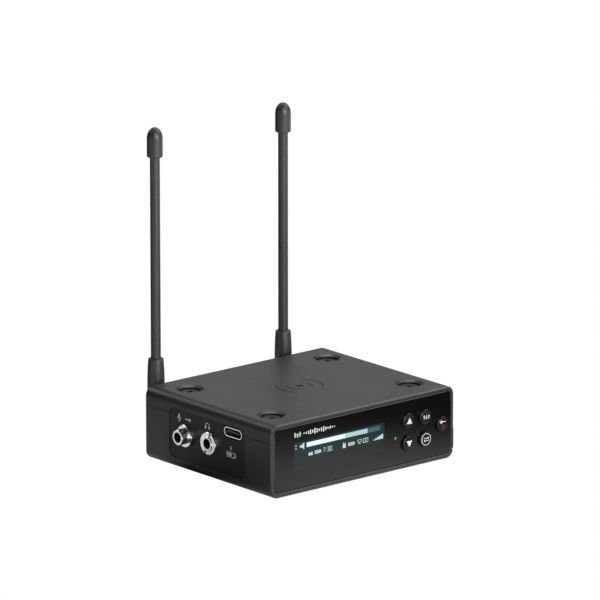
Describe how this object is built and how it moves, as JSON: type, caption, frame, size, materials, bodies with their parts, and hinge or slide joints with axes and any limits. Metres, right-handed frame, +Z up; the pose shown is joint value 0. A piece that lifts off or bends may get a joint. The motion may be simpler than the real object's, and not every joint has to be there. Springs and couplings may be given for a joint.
{
  "type": "wireless receiver unit",
  "caption": "Compact flat receiver with a glossy front with display and keys, side sockets, a battery door and hinged whip antennas.",
  "frame": {"origin": "middle of the pattern of the feet, on the plane that they stand on", "axes": "+X to the right seen from the front, front face towards -Y, +Z up along the antennas"},
  "size_m": [0.0817, 0.0765, 0.1086],
  "materials": {
    "case_black": "fine-grained black coating",
    "panel_black": "smooth matt",
    "window_black": "high gloss",
    "cap_black": "satin",
    "rubber_black": "soft matt",
    "nickel": "bright nickel plate",
    "steel": "plain",
    "black_metal": "black oxide",
    "display_glass": "dark",
    "light_clear": "clear, lit green",
    "inner_plastic": "moulded",
    "board_green": "solder resist",
    "cell_wrap": "printed sleeve without lettering",
    "lead_brown": "smooth jacket",
    "print_white": "printed symbols",
    "print_red": "printed symbol",
    "display_lit": "lit display segments"
  },
  "bodies": {
    "case": {"lower_housing": "case_black", "top_cover": "case_black", "cover_screws": "black_metal", "stacking_discs": "case_black", "rubber_feet": "rubber_black", "front_lens": "window_black", "display_panel": "display_glass", "display_frame": "inner_plastic", "front_board": "board_green", "tact_switches": "inner_plastic", "light_pipes": "light_clear", "status_leds": "light_clear", "connector_panel": "panel_black", "mic_jack_body": "inner_plastic", "mic_jack_barrel": "nickel", "mic_jack_ring": "nickel", "phones_jack_body": "inner_plastic", "phones_jack_barrel": "nickel", "phones_jack_nut": "nickel", "usb_shell": "nickel", "usb_tongue": "inner_plastic", "main_board": "board_green", "board_screws": "steel", "board_connector": "inner_plastic", "rf_shield": "steel", "battery_tray": "inner_plastic", "battery_cells": "cell_wrap", "battery_contacts": "steel", "door_hinge_pin": "steel", "antenna_leads": "lead_brown", "left_antenna_socket": "nickel", "left_socket_nut": "nickel", "left_coupling_nut": "black_metal", "right_antenna_socket": "nickel", "right_socket_nut": "nickel", "right_coupling_nut": "black_metal"},
    "up_cap": {"up_button": "cap_black"},
    "set_cap": {"set_button": "cap_black"},
    "escape_cap": {"escape_button": "cap_black"},
    "down_cap": {"down_button": "cap_black"},
    "sync_cap": {"sync_button": "cap_black"},
    "door": {"battery_door": "case_black"},
    "left_swivel": {"left_knuckle": "black_metal", "left_pivot_pin": "steel"},
    "left_antenna": {"left_boot": "rubber_black", "left_rod": "rubber_black", "left_tip": "rubber_black"},
    "right_swivel": {"right_knuckle": "black_metal", "right_pivot_pin": "steel"},
    "right_antenna": {"right_boot": "rubber_black", "right_rod": "rubber_black", "right_tip": "rubber_black"}
  },
  "joints": [
    {"name": "up_press", "type": "slide", "parent": "case", "child": "up_cap", "axis": [0, 1, 0], "range_m": [0, 0.0003], "stiffness_N_per_m": 400, "springref_m": -0.0005},
    {"name": "set_press", "type": "slide", "parent": "case", "child": "set_cap", "axis": [0, 1, 0], "range_m": [0, 0.0003], "stiffness_N_per_m": 400, "springref_m": -0.0005},
    {"name": "escape_press", "type": "slide", "parent": "case", "child": "escape_cap", "axis": [0, 1, 0], "range_m": [0, 0.0003], "stiffness_N_per_m": 400, "springref_m": -0.0005},
    {"name": "down_press", "type": "slide", "parent": "case", "child": "down_cap", "axis": [0, 1, 0], "range_m": [0, 0.0003], "stiffness_N_per_m": 400, "springref_m": -0.0005},
    {"name": "sync_press", "type": "slide", "parent": "case", "child": "sync_cap", "axis": [0, 1, 0], "range_m": [0, 0.0003], "stiffness_N_per_m": 400, "springref_m": -0.0005},
    {"name": "door_hinge", "type": "hinge", "parent": "case", "child": "door", "pos_m": [0.03843, 0, 0.0043], "axis": [0, 1, 0], "range_deg": [0, 95]},
    {"name": "left_swivel_turn", "type": "hinge", "parent": "case", "child": "left_swivel", "pos_m": [-0.0273, 0.0406, 0.0128], "axis": [0, 1, 0], "range_deg": [-90, 12]},
    {"name": "left_tilt", "type": "hinge", "parent": "left_swivel", "child": "left_antenna", "pos_m": [-0.0273, 0.0406, 0.0128], "axis": [-1, 0, 0], "range_deg": [0, 90]},
    {"name": "right_swivel_turn", "type": "hinge", "parent": "case", "child": "right_swivel", "pos_m": [0.0273, 0.0406, 0.0128], "axis": [0, 1, 0], "range_deg": [-12, 90]},
    {"name": "right_tilt", "type": "hinge", "parent": "right_swivel", "child": "right_antenna", "pos_m": [0.0273, 0.0406, 0.0128], "axis": [-1, 0, 0], "range_deg": [0, 90]}
  ]
}
